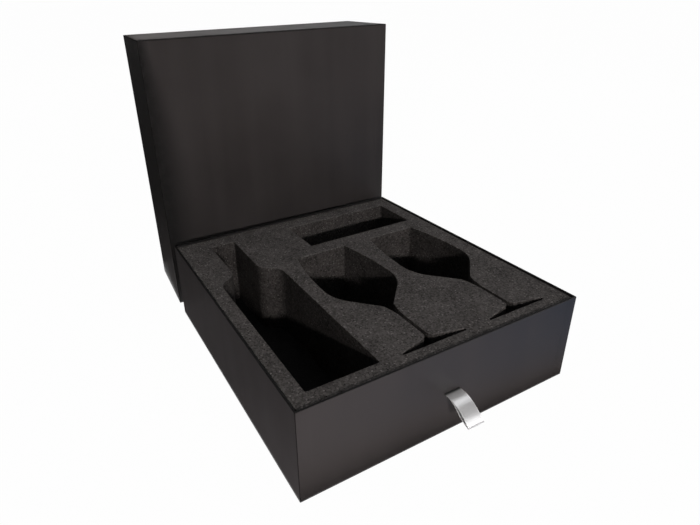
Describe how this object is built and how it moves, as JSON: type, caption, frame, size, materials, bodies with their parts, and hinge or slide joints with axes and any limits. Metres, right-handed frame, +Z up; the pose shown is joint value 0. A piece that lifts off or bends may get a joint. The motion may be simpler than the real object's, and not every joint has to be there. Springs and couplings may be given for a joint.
{
  "type": "sliding drawer gift box",
  "caption": "Black rigid-board gift box for a bottle and glasses: a drawer with a cut foam insert and ribbon pull, drawn out of its slipcase, which stands behind it.",
  "frame": {"origin": "centre of the drawer's underside, on the surface that the box stands on", "axes": "+X to the right of someone facing the ribbon, +Y from the drawer's front to the slipcase, +Z up"},
  "size_m": [0.363, 0.55, 0.3736],
  "materials": {
    "black_paper": "matte",
    "lining_paper": "matte",
    "greyboard": "matte",
    "stay_paper": "matte",
    "foam": "matte",
    "ribbon": "satin"
  },
  "bodies": {
    "sleeve": {"sleeve_face_board": "greyboard", "sleeve_back_board": "greyboard", "sleeve_left_board": "greyboard", "sleeve_right_board": "greyboard", "sleeve_end_board": "greyboard", "sleeve_corner_stays": "stay_paper", "sleeve_wrap": "black_paper", "sleeve_end_sheet": "black_paper", "sleeve_lining": "lining_paper"},
    "drawer": {"drawer_base_board": "greyboard", "drawer_front_board": "greyboard", "drawer_back_board": "greyboard", "drawer_left_board": "greyboard", "drawer_right_board": "greyboard", "drawer_corner_stays": "stay_paper", "drawer_wrap": "black_paper", "drawer_base_sheet": "black_paper", "drawer_lining": "lining_paper", "ribbon_tails": "ribbon"},
    "insert": {"foam_base_pad": "foam", "foam_block": "foam"},
    "pull": {"ribbon_pull": "ribbon"}
  },
  "joints": [
    {"name": "drawer_slide", "type": "slide", "parent": "sleeve", "child": "drawer", "axis": [0, -1, 0], "range_m": [0, 0.37]},
    {"name": "insert_lift", "type": "slide", "parent": "drawer", "child": "insert", "axis": [0, 0, 1], "range_m": [0, 0.12]},
    {"name": "ribbon_swing", "type": "hinge", "parent": "drawer", "child": "pull", "pos_m": [0.0015, -0.185, 0.052], "axis": [-1, 0, 0], "range_deg": [-55, 60]}
  ]
}
